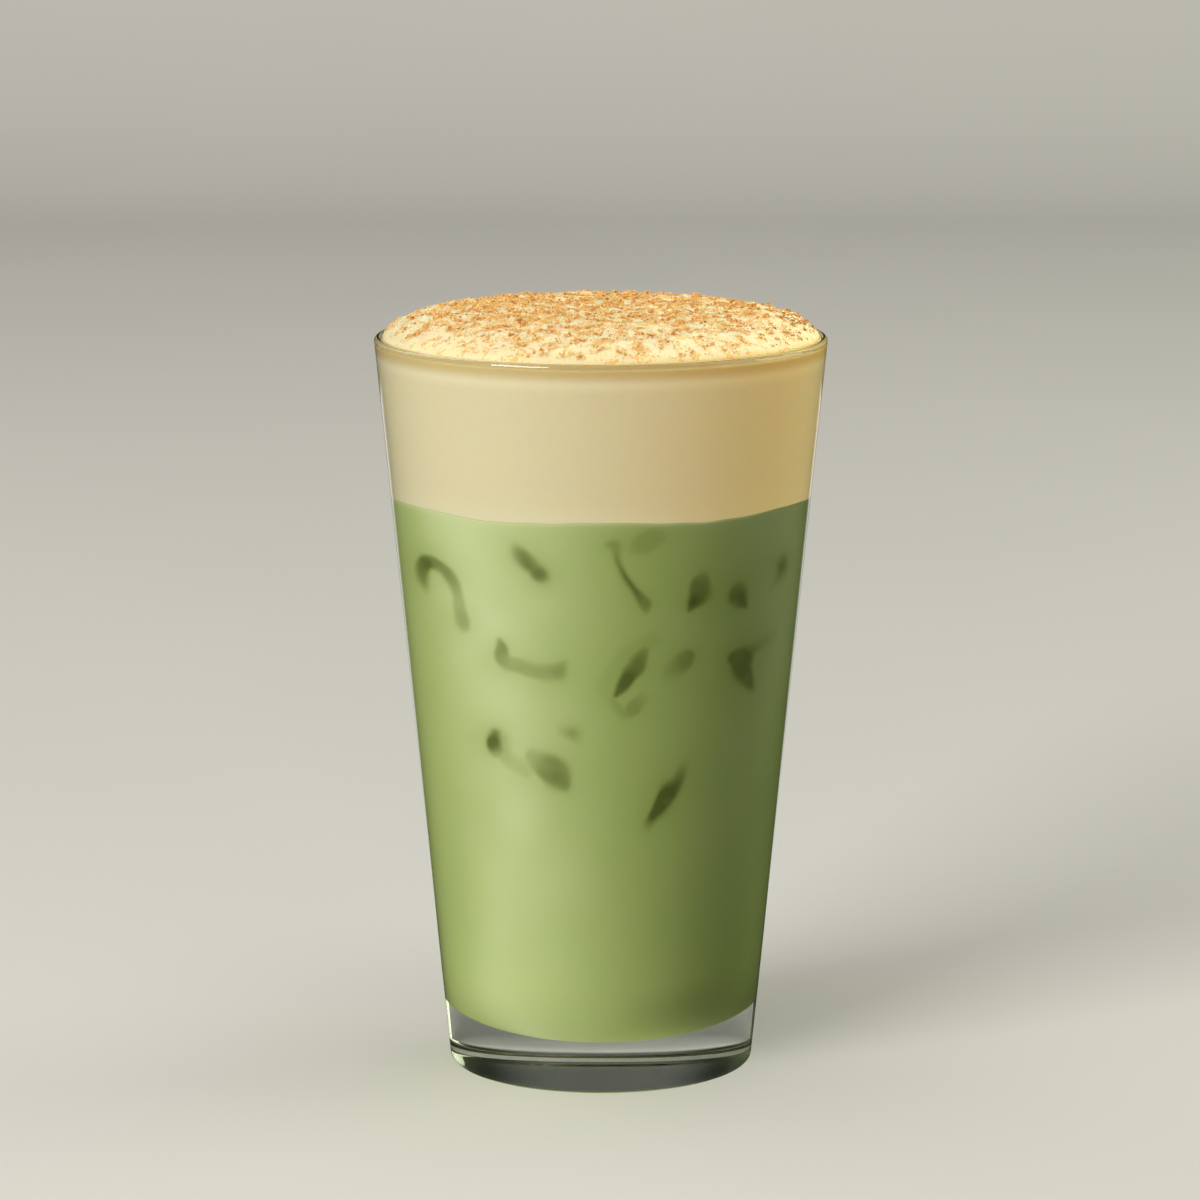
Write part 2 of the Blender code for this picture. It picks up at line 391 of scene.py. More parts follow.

# %% [markdown]
# ## Where the ice touches the glass
#
# Milk hides the ice, except where an edge of a cube presses against the wall. There the film of milk
# is so thin that the dark inside of the ice shows, as a soft olive mark. Each mark is a stroke along
# such an edge: a list of points. Their places and widths were picked by eye in the photo, and another
# script turned them into millimetres: the places by following light from the camera through the
# glass's wall, the widths by a scale. About a third of the places were then moved. A point has its
# distance across from the axis, as it appears from the front, its height and a half width, in
# millimetres, and a darkness.

# %% The marks of the ice
ICE_MARKS = {
    "hook": [
        (-33.8, 98.2, 0.3, 0.5), (-34.3, 100.3, 1.0, 0.8), (-34.4, 102.3, 1.2, 0.95),
        (-33.6, 103.9, 1.2, 1.0), (-32.1, 104.1, 1.1, 0.9), (-30.3, 103.3, 1.0, 0.8),
        (-28.8, 101.9, 1.1, 0.75), (-27.9, 100.2, 1.0, 0.6), (-27.4, 98.3, 0.8, 0.55),
        (-27.0, 95.8, 1.0, 0.55), (-26.6, 93.8, 1.2, 0.6), (-26.3, 92.6, 0.9, 0.5),
    ],
    "slanting spot": [
        (-15.8, 108.8, 0.8, 0.7), (-14.8, 107.7, 1.2, 0.85), (-13.7, 106.6, 1.2, 0.95),
        (-12.7, 105.6, 1.1, 0.9), (-11.7, 104.5, 1.2, 0.95), (-11.0, 104.1, 1.0, 0.8),
    ],
    "thread": [
        (1.3, 110.5, 0.3, 0.6), (2.5, 110.3, 0.8, 0.65), (2.9, 109.2, 0.6, 0.65),
        (3.1, 107.5, 0.4, 0.75), (3.9, 105.6, 0.3, 0.9), (4.9, 103.7, 0.35, 1.0),
        (6.4, 101.5, 0.5, 0.95), (7.6, 99.8, 0.8, 0.8), (8.4, 98.5, 0.9, 0.7), (8.6, 96.8, 0.3, 0.4),
    ],
    "faint top": [(6.2, 109.8, 1.1, 0.35), (8.2, 110.7, 1.8, 0.45), (10.2, 111.9, 1.7, 0.4)],
    "left drop": [
        (19.4, 103.3, 1.0, 0.5), (18.9, 101.6, 1.7, 0.75), (18.8, 99.9, 1.7, 0.9),
        (17.7, 98.3, 1.0, 1.0), (16.9, 97.1, 0.4, 0.95),
    ],
    "right drop": [
        (26.5, 100.5, 0.9, 0.65), (26.1, 99.0, 1.6, 0.8), (26.8, 97.6, 1.1, 0.85), (27.7, 96.4, 0.4, 0.75),
    ],
    "edge spot": [
        (35.1, 104.0, 0.6, 0.6), (35.0, 102.7, 0.8, 0.75), (34.7, 101.2, 0.6, 0.6),
        (33.4, 99.7, 0.6, 0.2), (32.3, 98.2, 0.6, 0.1),
    ],
    "smile": [
        (-19.3, 90.6, 0.4, 0.65), (-18.9, 89.2, 0.9, 0.75), (-18.9, 87.5, 1.2, 0.65),
        (-17.8, 86.4, 1.2, 0.55), (-15.4, 85.9, 1.2, 0.55), (-12.7, 85.2, 1.2, 0.55),
        (-10.3, 85.0, 1.3, 0.6), (-8.4, 85.3, 1.4, 0.65), (-7.4, 86.3, 0.8, 0.65), (-6.8, 87.4, 0.2, 0.5),
    ],
    "streak": [
        (8.3, 89.4, 0.8, 0.6), (7.3, 87.8, 1.3, 0.8), (6.6, 86.1, 1.4, 0.9), (5.3, 84.4, 1.2, 1.0),
        (4.0, 82.4, 0.9, 1.0), (2.9, 81.0, 0.4, 0.95),
    ],
    "streak's pale side": [(9.8, 91.6, 1.3, 0.3), (5.8, 88.0, 2.3, 0.28), (1.3, 82.6, 1.9, 0.26)],
    "loop": [
        (2.1, 80.1, 0.6, 0.4), (3.2, 78.3, 0.7, 0.42), (4.8, 77.0, 0.8, 0.48), (6.3, 78.2, 1.3, 0.55),
        (7.8, 79.9, 1.1, 0.4),
    ],
    "faint slant": [(16.5, 87.8, 1.2, 0.7), (15.5, 86.6, 1.6, 0.65), (13.6, 85.1, 1.6, 0.35)],
    "wedge": [
        (25.9, 86.2, 1.3, 0.85), (27.4, 86.3, 1.6, 0.85), (27.0, 84.3, 1.7, 0.85), (28.1, 81.8, 1.1, 0.85),
        (29.1, 79.6, 0.4, 0.8),
    ],
    "wing": [(29.1, 87.3, 0.8, 0.7), (31.2, 88.1, 1.0, 0.35), (32.9, 88.9, 1.2, 0.15)],
    "small drop": [(-20.4, 71.9, 0.8, 0.95), (-20.7, 70.2, 1.2, 1.0), (-20.3, 68.8, 1.4, 0.6)],
    "band": [
        (-19.4, 70.8, 1.1, 0.55), (-18.9, 68.2, 1.3, 0.4), (-17.0, 66.5, 1.3, 0.28), (-14.4, 65.4, 1.4, 0.32),
    ],
    "blot": [
        (-13.0, 67.8, 1.4, 0.5), (-11.2, 66.6, 2.1, 0.62), (-9.1, 65.4, 2.5, 0.78), (-7.7, 63.4, 1.6, 0.78),
        (-6.9, 61.8, 0.7, 0.5),
    ],
    "faint dot": [(-6.9, 73.5, 0.9, 0.35), (-5.4, 73.2, 0.9, 0.6), (-4.6, 72.1, 0.8, 0.35)],
    "long streak": [
        (16.2, 66.7, 1.0, 0.25), (15.0, 63.2, 0.9, 0.85), (13.2, 61.0, 1.5, 1.0), (11.7, 58.4, 1.3, 1.0),
        (10.0, 56.1, 0.8, 1.0), (9.1, 54.0, 0.8, 0.4), (9.3, 52.9, 0.6, 0.2),
    ],
    "long streak's pale side": [(14.0, 66.5, 1.5, 0.1), (11.0, 61.0, 2.4, 0.2), (8.4, 56.0, 1.6, 0.15)],
}
SHARPEST_EDGE, SOFTEST_EDGE = 0.16, 0.42
EDGE_PATCH, EDGE_CONTRAST, MOSTLY_SHARP = 7 * MM, 2.0, 1.5
MARK_SPREAD, MARK_REACH, THINNEST_MARK = 1.15, 3.2, 0.05
MARK_SHADE, SHADE_SPREAD = 0.30, 2.6
MARK_UNEVEN, MARK_RIPPLE = 0.05, 4.5 * MM
MARK_TONE_UNEVEN, TONE_RIPPLE = 0.03, 3.5 * MM
SETS_OF_MARKS = ((0.0, 1, 0.0), (180.0, -1, -5.0))
WALL_RATIO = outer_radius(90 * MM) / inner_radius(90 * MM)
print(len(ICE_MARKS), "marks")


def seen_across(from_front, height):
    """How far from the axis a place on the inner wall appears, seen level from the front.

    A ray at a share of the outer radius is bent there to that share over the IOR. The sum of three
    arcsines is the angle at which it meets the inner wall. The table is then read backwards.
    """
    share = np.linspace(-1.0, 1.0, 401)
    bent = share / GLASS_IOR
    meets = np.arcsin(share) - np.arcsin(bent) + np.arcsin(bent * WALL_RATIO)
    return np.interp(from_front, meets, share) * outer_radius(height)


def rounded(points, pieces=5):
    """The same stroke as a smooth curve through its points, a Catmull-Rom spline."""
    p = np.array(points)
    p = np.vstack((2 * p[0] - p[1], p, 2 * p[-1] - p[-2]))
    p[:, 2:] = np.maximum(p[:, 2:], THINNEST_MARK)
    t = np.linspace(0.0, 1.0, pieces, endpoint=False)[:, None, None]
    a, b, c, d = p[:-3], p[1:-2], p[2:-1], p[3:]
    curve = b + 0.5 * t * (c - a + t * (2 * a - 5 * b + 4 * c - d + t * (3 * (b - c) + d - a)))
    return np.vstack((curve.transpose(1, 0, 2).reshape(-1, p.shape[1]), p[-2]))


def s_curve(values):
    """The logistic curve: near 0 for values well below 0, near 1 for values well above it."""
    return 1 / (1 + np.exp(-np.clip(values, -30, 30)))


def stroke(across, height, points, edge):
    """How much of the ice shows at each place on the wall, from 0 to 1.

    The nearest point of each stretch gives a distance, a half width and a darkness. The mark is full
    inside the half width, fades over the soft edge, and has a faint wide shade.
    """
    shown = np.zeros(across.shape)
    points = rounded(points)
    reach = MARK_REACH * points[:, 2].max() + 2 * edge.max()
    low, high = points[:, :2].min(axis=0) - reach, points[:, :2].max(axis=0) + reach
    near = (across > low[0]) & (across < high[0]) & (height > low[1]) & (height < high[1])
    across, height, edge = across[near], height[near], edge[near]
    drawn = np.zeros(across.shape)
    for (x0, z0, w0, d0), (x1, z1, w1, d1) in zip(points, points[1:]):
        length = (x1 - x0) ** 2 + (z1 - z0) ** 2
        t = np.clip(((across - x0) * (x1 - x0) + (height - z0) * (z1 - z0)) / length, 0.0, 1.0)
        away = np.hypot(across - x0 - t * (x1 - x0), height - z0 - t * (z1 - z0))
        width = MARK_SPREAD * (w0 + t * (w1 - w0)) + 0.5 * SHARPEST_EDGE
        core = s_curve((width - away) / edge)
        shade = MARK_SHADE * np.exp(-((away / (SHADE_SPREAD * width)) ** 2))
        drawn = np.maximum(drawn, (d0 + t * (d1 - d0)) * (core + shade * (1 - core)))
    shown[near] = drawn
    return shown


def angle_of(points):
    """The angle round the axis, in radians. The front is at minus a quarter turn."""
    return np.arctan2(points[..., 1], points[..., 0])


def ice_shown(points):
    """The marks in front, and the same set again at the back, mirrored and a little lower.

    Ripples move the edges a little and make them sharp in one place and soft in the next.
    """
    soft = s_curve(EDGE_CONTRAST * ripples(points, EDGE_PATCH, 5)) ** MOSTLY_SHARP
    edge = SHARPEST_EDGE + (SOFTEST_EDGE - SHARPEST_EDGE) * soft
    aside, upwards = (MARK_UNEVEN * ripples(points, MARK_RIPPLE, seed) for seed in (6, 7))
    shown = np.zeros(edge.shape)
    for turned, flip, lift in SETS_OF_MARKS:
        from_front = angle_of(points) + 0.5 * math.pi - math.radians(turned)
        from_front = (from_front + math.pi) % (2 * math.pi) - math.pi
        across = flip * seen_across(from_front, points[..., 2]) / MM + aside
        height = points[..., 2] / MM - lift + upwards
        for mark in ICE_MARKS.values():
            shown = np.maximum(shown, stroke(across, height, mark, edge))
    return np.clip(shown * (1 + MARK_TONE_UNEVEN * ripples(points, TONE_RIPPLE, 8)), 0, 1)


# %% [markdown]
# ## Matcha with milk
#
# Whisked matcha in milk is an opaque green: light goes a little way in and comes back out, more of
# the yellow green than of the blue. That is subsurface scattering with a short reach. The liquid
# touches the glass all over, so it has no shine of its own, and its specular level is 0. Three
# numbers on the vertices steer its colour: where paler upright bands lie, where ice shows, and where
# the foam begins. The paler bands are partly milk that has stayed and partly painted light: the broad
# one at the front left is a painted highlight, those near it and the one at the right, strongest at
# the top, are painted light, and the two behind are milk. A fourth number fades the scattering out
# where the foam begins, because light lost into the hidden end of the mesh would leave a dark line. A
# slow cloudiness keeps the green from being flat.

# %% Matcha with milk
CLOUD_SIZE = 22 * MM
MATCHA, MATCHA_GREENER, MILKIER_OR_LIT = "A7B36B", "9BAF62", "C4CF98"
ICE_DEEP, ICE_FAINT = "5C6930", "8C9C46"
CREAMED = "D5D4A3"
SCATTER_IN_MILK = 0.3 * MM

matcha_material, tree = new_material("whisked_matcha_in_milk")
green = mix_colours(tree, noise(tree, CLOUD_SIZE, 3.0), MATCHA_GREENER, MATCHA)
# Paler bands: milk that has stayed, and painted highlight and painted light.
milky_or_lit = mix_colours(tree, number(tree, "milk_and_painted_light"), green, MILKIER_OR_LIT)
ice = number(tree, "ice")
with_ice = mix_colours(tree, ice, milky_or_lit, mix_colours(tree, ice, ICE_FAINT, ICE_DEEP))
colour = mix_colours(tree, number(tree, "cream"), with_ice, CREAMED)
principled(tree, {
    "Base Color": colour, "Roughness": 0.4, "Specular IOR Level": 0.0,
    "Subsurface Weight": number(tree, "depth"), "Subsurface Radius": (1.0, 1.2, 0.5),
    "Subsurface Scale": SCATTER_IN_MILK,
})

# %% [markdown]
# ## The drink
#
# The drink fills the bowl and the cone up to the border. The marks of the ice are kept as a number
# on each vertex, so the mesh is fine where they are: rings 0.4 mm apart in the upper part, and
# columns closest together at the front.

# %% The drink
DRINK_AROUND = 480
FRONT_FINENESS = 0.42
BOWL_ROWS, WIDE_ROWS, FINE_ROWS = 18, 15, 165
MARKS_FROM = 49.0 * MM
CREAM_MOST, CREAM_FADE = 0.6, 0.45 * MM
SCATTER_WEIGHT, SCATTER_FADE = 0.3, 3 * MM
BAND_DRIFT, BAND_DRIFT_LENGTH, BAND_UPRIGHT = 3.0, 30 * MM, (1, 1, 0.4)
BAND_UNEVEN, BAND_PATCH = 0.06, 14 * MM
# Middle, spread, strength, share left at the bottom. At -35 degrees a painted highlight, at -75, -8 and 62
# degrees painted light, at 150 and -140 degrees milk.
MILK_AND_LIGHT_BANDS = (
    (-35.0, 15.0, 1.0, 0.6), (-75.0, 9.0, 0.15, 0.6), (-8.0, 10.0, 0.2, 0.7), (62.0, 15.0, 1.0, 0.1),
    (150.0, 20.0, 0.8, 0.4), (-140.0, 22.0, 0.6, 0.4),
)


def column_angles():
    """Angles round the axis that lie closest together at the front, where the angle is -90 degrees."""
    even = np.linspace(0.0, 2 * math.pi, DRINK_AROUND, endpoint=False)
    return even - FRONT_FINENESS * np.sin(even) - 0.5 * math.pi


def drink_rings():
    """Bowl rings, wide wall rings, then fine ones whose heights stretch evenly to the border."""
    angle = column_angles()
    curve = bowl(-INTO_WALL, BOWL_ROWS)[::-1]
    wide = np.linspace(BOWL_TOP, MARKS_FROM, WIDE_ROWS + 1)[1:, None] + 0 * angle
    share = np.linspace(0.0, 1.0, FINE_ROWS + 1)[1:, None]
    z = np.concatenate((wide, MARKS_FROM + share * (layer_level(angle) - MARKS_FROM)))
    wall = polar(inner_radius(z) + INTO_WALL, angle, z)
    return np.concatenate((polar(curve[:, :1], angle, curve[:, 1:]), wall))


def painted_light_and_milk(points):
    """Upright bands with wandering edges, 0 to 1: milk not quite mixed in, painted highlight and light.

    Each band is a bell curve of the angle from the front, with a middle, a spread, a strength and the
    share of it that is left at the bottom.
    """
    drift = BAND_DRIFT * ripples(points * BAND_UPRIGHT, BAND_DRIFT_LENGTH, 15)
    from_front = np.degrees(angle_of(points)) + 90 + drift
    higher = np.clip((points[..., 2] - BOWL_TOP) / (DRINK_LEVEL - BOWL_TOP), 0, 1)
    milk_and_painted_light = 0
    for middle, spread, strength, left_low in MILK_AND_LIGHT_BANDS:
        away = (from_front - middle + 180) % 360 - 180
        fading = left_low + (1 - left_low) * higher
        milk_and_painted_light = milk_and_painted_light + strength * fading * np.exp(-0.5 * (away / spread) ** 2)
    return np.clip(milk_and_painted_light, 0, 1) * (1 + BAND_UNEVEN * ripples(points, BAND_PATCH, 16))


rings = drink_rings()
drink_mesh = skin("drink", rings, BASE_THICKNESS - INTO_WALL, DRINK_LEVEL, flat_top=True)
below_foam = layer_level(angle_of(rings)) - rings[..., 2]
scattering = SCATTER_WEIGHT * np.clip(below_foam / SCATTER_FADE, 0, 1)
for name, values, at_poles in (
    ("ice", ice_shown(rings), (0.0, 0.0)), ("milk_and_painted_light", painted_light_and_milk(rings), (0.0, 0.0)),
    ("cream", CREAM_MOST * np.exp(-below_foam / CREAM_FADE), (0.0, 0.0)),
    ("depth", scattering, (SCATTER_WEIGHT, 0.0)),
):
    store(drink_mesh, name, values, at_poles)
drink = link("drink", drink_mesh, matcha_material)
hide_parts("matcha_drink")
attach(drink, "root")

# %% [markdown]
# ## Turning things at random
#
# Ice and grains of spice lie any way up. Random unit quaternions turn them, which makes every turn
# equally likely. Random angles about three axes would favour some.

# %% Random turns
def random_turns(draw, count):
    """A random turn for each of many things, as rotation matrices made from unit quaternions."""
    q = draw.normal(size=(count, 4))
    w, x, y, z = (q / np.linalg.norm(q, axis=1, keepdims=True)).T
    rows = (
        (1 - 2 * (y * y + z * z), 2 * (x * y - w * z), 2 * (x * z + w * y)),
        (2 * (x * y + w * z), 1 - 2 * (x * x + z * z), 2 * (y * z - w * x)),
        (2 * (x * z - w * y), 2 * (y * z + w * x), 1 - 2 * (x * x + y * y)),
    )
    return np.stack([np.stack(row, -1) for row in rows], 1)


# %% [markdown]
# ## The ice
#
# Twelve cubes are packed in four layers below the foam. Milk hides them, so they show only as the
# marks above, but the drink is not complete without them. Each cube is a superellipsoid, a ball
# blown up towards a box, with the round edges that melting gives.

# %% The ice
ICE_HALF_SIDE = 9.4 * MM
ICE_SQUARENESS = 5.0
ICE_FROM_WALL = 13.6 * MM
ICE_LEVELS = MM * np.array((34.5, 56.5, 78.5, 100.5))[:, None]
CUBES_IN_LEVEL = 3
FIRST_TURN, TURN_PER_LEVEL = 20, 60
ICE_SEED = 61
MELT_SIZE, MELT_HEIGHT = 6 * MM, 0.3 * MM

ice_material, tree = new_material("clear_ice")
melt = noise(tree, MELT_SIZE)
principled(tree, {
    "Base Color": mix_colours(tree, melt, "EEF4F6", "FFFFFF"), "Roughness": 0.05, "IOR": 1.31,
    "Transmission Weight": 1.0, "Normal": bump(tree, melt, MELT_HEIGHT),
})


def ice_middles():
    """Three cubes a level, close to the wall, each level turned by 60 degrees against the last."""
    turned = np.radians(FIRST_TURN + TURN_PER_LEVEL * np.arange(len(ICE_LEVELS)))[:, None]
    angle = turned + np.arange(CUBES_IN_LEVEL) * 2 * math.pi / CUBES_IN_LEVEL
    return polar(inner_radius(ICE_LEVELS) - ICE_FROM_WALL, angle, ICE_LEVELS).reshape(-1, 3)


def ice_mesh():
    """All cubes in one mesh: the ball's rings of directions, pushed out to a rounded box.

    The distance from the middle is the half side over the direction's norm with a high power.
    """
    latitude = np.linspace(-0.5 * math.pi, 0.5 * math.pi, 17)[1:-1]
    ball = turn(np.stack((np.cos(latitude), np.sin(latitude)), axis=1), 28)
    norm = (np.abs(ball) ** ICE_SQUARENESS).sum(axis=-1, keepdims=True) ** (1 / ICE_SQUARENESS)
    cube = skin("ice_cube", ICE_HALF_SIDE * ball / norm, -ICE_HALF_SIDE, ICE_HALF_SIDE)
    corners = np.array([v.co for v in cube.vertices])
    faces = [list(face.vertices) for face in cube.polygons]
    bpy.data.meshes.remove(cube)
    middles = ice_middles()
    turns = random_turns(np.random.default_rng(ICE_SEED), len(middles))
    points = middles[:, None] + np.einsum("nij,kj->nki", turns, corners)
    joined = [[i * len(corners) + k for k in face] for i in range(len(middles)) for face in faces]
    mesh = mesh_of("ice_cubes", points, joined)
    mesh.shade_smooth()
    return mesh


ice_cubes = link("ice_cubes", ice_mesh(), ice_material)
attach(ice_cubes, "root")

# %% [markdown]
# ## The foam's surface
#
# The foam was poured to the brim and heaped: nearly flat on top, with a round shoulder that drops
# steeply to the lip. A power curve gives that shape, and a few low swells make it lopsided. Finer
# relief comes from ripples of three sizes, along the surface's own normal: soft folds, lumps and
# bubbles. It fades out at the lip, where the edge is smooth.

# %% The foam's surface
MOUND_HEIGHT = 5.4 * MM
MOUND_FLATNESS = 5.0
MOUND_SHOULDER = 0.6
LIP_GAP = 0.3 * MM
MOUND_RADIUS = inner_radius(GLASS_HEIGHT) - LIP_GAP
SWELLS = MM * np.array((
    (-17, 2, 0.55, 13), (6, 14, -0.35, 12), (-33, -12, 0.45, 7), (24, -14, 0.35, 10), (2, -25, -0.3, 10),
))
RELIEF = ((7.0 * MM, 0.16 * MM, 11), (2.6 * MM, 0.10 * MM, 12), (1.1 * MM, 0.045 * MM, 13))
SMOOTH_EDGE = 0.06
NORMAL_STEP = 1e-3


def mound_level(share):
    """Height at a share of the radius: the rim plus a flat-topped power curve."""
    return GLASS_HEIGHT + MOUND_HEIGHT * (1 - np.clip(share, 0, 1) ** MOUND_FLATNESS) ** MOUND_SHOULDER


def mound_point(share, angle):
    """Point and outward normal of the foam's top at a share of the radius and an angle.

    The height is the mound's curve plus the swells. The relief then moves the point along the normal.
    """
    x, y = MOUND_RADIUS * share * np.cos(angle), MOUND_RADIUS * share * np.sin(angle)
    swell = sum(h * np.exp(-((x - cx) ** 2 + (y - cy) ** 2) / r ** 2) for cx, cy, h, r in SWELLS)
    z = mound_level(share) + swell * (1 - share ** 4)
    inner = np.clip(share - NORMAL_STEP, 0, 1)
    slope = (mound_level(share) - mound_level(inner)) / (MOUND_RADIUS * np.maximum(share - inner, 1e-9))
    normal = polar(-slope, angle, 1.0) / np.hypot(slope, 1.0)[..., None]
    fade = np.clip((1 - share) / SMOOTH_EDGE, 0, 1)
    place = np.stack((x, y, z), axis=-1)
    relief = sum(height * ripples(place, wave, seed) for wave, height, seed in RELIEF)
    return place + normal * (fade * relief)[..., None], normal


def foam_over(x, y):
    """Point and outward normal of the foam's top over a place on the plan."""
    return mound_point(np.hypot(x, y) / MOUND_RADIUS, np.arctan2(y, x))


middle_level = foam_over(np.zeros(1), np.zeros(1))[0][0, 2]
print("the foam's middle is", round(middle_level / MM, 2), "mm up")

# %% [markdown]
# ## Where the spice lies
#
# Large crumbs lie thickest in the middle and towards the back left, as in the solids. The finer spice
# covers most of the top and thins out on the front shoulder, behind a ragged line. It also lies in
# clumps, so the even density is broken up by ripples.

# %% Where the spice lies
DUSTING_CENTRE = (-3.0 * MM, 5.0 * MM)
DUSTING_REACH = (27.0 * MM, 24.0 * MM)
THINNEST_DUSTING = 0.22
FULL_COVER, THINNEST_COVER = 0.64, 0.36
FRONT_LINE, LINE_FADE = 27.0 * MM, 4.0 * MM
RAGGED, RAGGED_LENGTH = 3.5 * MM, 10 * MM
SIDE_FROM, SIDE_FADE, SIDE_THINNING = 33.0 * MM, 2.0 * MM, 0.5
CLUMP_SIZES = ((5.5 * MM, 1.0, 21), (2.4 * MM, 0.7, 22))
CLUMP_CONTRAST = 2.2


def dusting(x, y):
    """Density from 0 to 1: a bell curve over an ellipse, on top of a thin even dusting."""
    across = (x - DUSTING_CENTRE[0]) / DUSTING_REACH[0]
    along = (y - DUSTING_CENTRE[1]) / DUSTING_REACH[1]
    return THINNEST_DUSTING + (1 - THINNEST_DUSTING) * np.exp(-(across ** 2) - along ** 2)


def cover(x, y):
    """Cover with fine spice from 0 to 1: dense behind a ragged line, thin before it and at the sides."""
    chord = np.sqrt(np.clip(1 - (x / MOUND_RADIUS) ** 2, 0.02, 1))
    ragged = RAGGED * ripples(np.stack((x, y), axis=-1), RAGGED_LENGTH, 51)
    behind_line = s_curve((y + FRONT_LINE * chord + ragged) / LINE_FADE)
    at_side = s_curve((np.abs(x) - SIDE_FROM) / SIDE_FADE)
    return (THINNEST_COVER + (FULL_COVER - THINNEST_COVER) * behind_line) * (1 - SIDE_THINNING * at_side)


def clumped(x, y, least):
    """From least to 1: two sizes of ripples, squeezed so that most places are near the ends."""
    flat = np.stack((x, y), axis=-1)
    uneven = sum(share * ripples(flat, size, seed) for size, share, seed in CLUMP_SIZES)
    return least + (1 - least) * s_curve(CLUMP_CONTRAST * uneven)


print("cover in the middle", round(float(cover(np.zeros(1), np.zeros(1))[0]), 2))

# %% [markdown]
# ## Cold foam
#
# Sweet cream whipped cold is a dense, matt foam of tiny bubbles. Light goes deep into it, so its
# relief looks soft and its edges glow. Against the glass it is wetter and painted darker than on top:
# partly wet foam, partly painted shade for the side, which gets less light than the top. The
# scattering's reach and weight shrink towards the drink, where no foam is left for the light to go
# through and a trace of the green mixes in.
#
# The finest spice is a dust that no grain can stand for. It stains the surface golden wherever a
# coarse noise, a fine one and the cover add up to enough. The smallest bubbles are a bump.

# %% Cold foam
DUST_PATCH, DUST_GRAIN = 1.9 * MM, 0.55 * MM
GRAIN_SHARE, COVER_SHARE = 0.6, 0.5
DUST_FROM, DUST_FULL, DUST_MOST = 0.99, 1.11, 0.9
WARMER_PATCH = 12 * MM
BUBBLE, BUBBLE_HEIGHT = 0.5 * MM, 0.12 * MM
BUBBLES_ON_TOP, BUBBLES_PRESSED_FLAT = 0.35, 0.32
FOAM_TOP, FOAM_TOP_WARM = "F0E6B9", "EFDFAE"
FOAM_WET_AND_SHADED, FOAM_DARK_BAND, FOAM_RING, FOAM_GREENED = "DBD0AB", "C9B47E", "E3DAB6", "D2D4A2"
DUST_LIGHT, DUST_DARK = "F2D18A", "E2AE60"

foam_material, tree = new_material("sweet_cream_cold_foam")
# Where the foam lies against the glass: wet foam, painted darker as painted shade for the side.
wet_and_shaded = number(tree, "wet_and_shaded")
grain = noise(tree, DUST_GRAIN)
uneven = plus_share(tree, noise(tree, DUST_PATCH), GRAIN_SHARE, grain)
mask = add(tree, "ShaderNodeMapRange", {
    "Value": plus_share(tree, uneven, COVER_SHARE, number(tree, "dusting")),
    "From Min": DUST_FROM, "From Max": DUST_FULL, "To Min": 0.0, "To Max": DUST_MOST,
}, interpolation_type="SMOOTHSTEP").outputs["Result"]
on_top = mix_colours(tree, noise(tree, WARMER_PATCH), FOAM_TOP_WARM, FOAM_TOP)
dusted = mix_colours(tree, mask, on_top, mix_colours(tree, grain, DUST_LIGHT, DUST_DARK))
# The side's colour against the glass: wet foam and painted shade.
colour = FOAM_WET_AND_SHADED
# Onto the side: the darker band below the lip, the lighter ring and a trace of green.
for name, other in (("dark_band_under_lip", FOAM_DARK_BAND), ("ring", FOAM_RING), ("greened", FOAM_GREENED)):
    colour = mix_colours(tree, number(tree, name), colour, other)
bubbles = add(tree, "ShaderNodeTexVoronoi", {"Vector": own_place(tree), "Scale": 1 / BUBBLE})
rough = plus_share(tree, BUBBLES_ON_TOP, -BUBBLES_PRESSED_FLAT, wet_and_shaded)
principled(tree, {
    "Base Color": mix_colours(tree, wet_and_shaded, dusted, colour),
    "Normal": bump(tree, bubbles.outputs["Distance"], BUBBLE_HEIGHT, rough),
    "Roughness": 0.65, "Specular IOR Level": 0.25, "Subsurface Radius": (1.0, 0.55, 0.22),
    "Subsurface Weight": number(tree, "depth"), "Subsurface Scale": number(tree, "reach"),
})

# %% [markdown]
# ## The foam
#
# From the border up to just below the lip the foam presses against the wall. There it draws back a
# little and rises free to the mound, which leaves a thin line of air behind the lip. Just below the
# lip the foam is painted a darker band, as in the picture, with a lighter ring along its lower edge.

# %% The foam
FOAM_AROUND = 384
FREE_BELOW_RIM = 1.2 * MM
WALL_ROWS, LAST_WALL_ROWS, EDGE_ROWS, TOP_ROWS = 28, 7, 8, 104
LAST_STRETCH = 0.9
CLOSER_AT_DRINK, CLOSER_AT_LIP = 1.6, 1.35
DRAWN_BACK_BY, DRAWING_BACK = 0.25, 0.7
# A darker band painted on the foam just below the lip, and a lighter ring along its lower edge.
DARK_BAND_LEVEL = GLASS_HEIGHT - 3.7 * MM
DARK_BAND_BELOW, DARK_BAND_ABOVE = 0.3 * MM, 1.9 * MM
RING_MOST, RING_BELOW, RING_WIDTH = 0.9, 0.5 * MM, 0.6 * MM
LEAST_REACH, DEEPEST_REACH, REACH_PER_HEIGHT = 0.2 * MM, 9.0 * MM, 0.4
FOAM_SCATTER, FOAM_SCATTER_FROM = 0.8, 5 * MM
GREENED_MOST, GREENED_FADE = 0.7, 0.3 * MM
LEAST_DUST, DUST_AT_MIDDLE = 0.7, 0.6
# Rows where the wet, painted-shade side colour gives way to the top's.
WET_AND_SHADED_FROM_ROW, WET_AND_SHADED_TO_ROW = -3, 1


